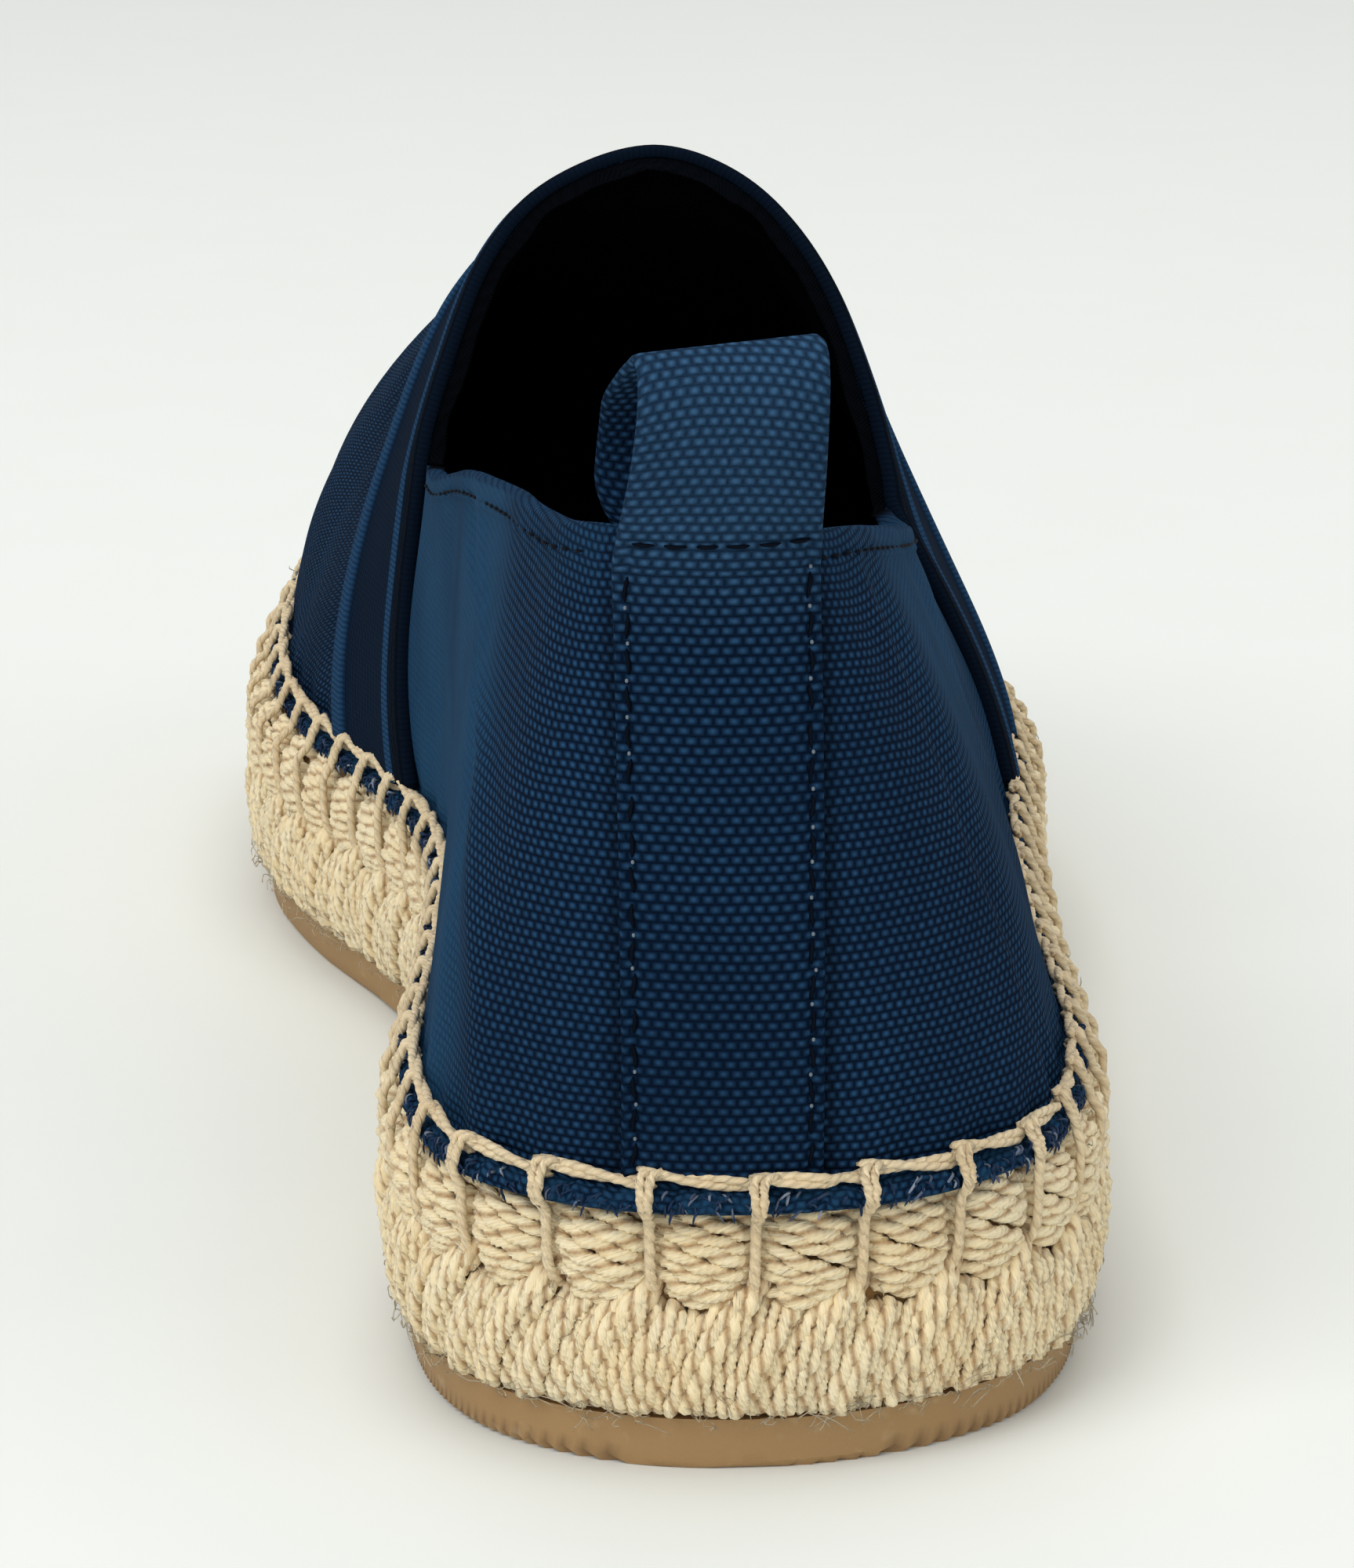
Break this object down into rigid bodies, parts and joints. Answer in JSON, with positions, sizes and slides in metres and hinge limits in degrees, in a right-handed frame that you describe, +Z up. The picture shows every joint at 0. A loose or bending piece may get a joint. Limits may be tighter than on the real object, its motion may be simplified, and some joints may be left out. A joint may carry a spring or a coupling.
{
  "type": "espadrille",
  "caption": "Slip-on canvas espadrille, right shoe, with plaited jute side, rubber outsole, woven tape over the instep and a webbing pull loop at the heel.",
  "frame": {"origin": "on the floor under the centre of the heel", "axes": "+Y towards the toe, -X towards the inner side of the foot, +Z up"},
  "size_m": [0.0908, 0.2659, 0.0996],
  "materials": {
    "rubber": "matt tan rubber, finely ribbed",
    "jute": "plaited natural jute yarn",
    "lining": "dark navy cotton lining",
    "canvas": "washed navy cotton canvas, plain weave",
    "tape": "navy woven tape with raised borders",
    "webbing": "navy cotton webbing"
  },
  "bodies": {
    "root": {"outsole": "rubber", "jute_midsole": "jute", "insole": "lining", "upper": "canvas", "throat_tape": "tape", "heel_webbing": "webbing"}
  },
  "joints": []
}
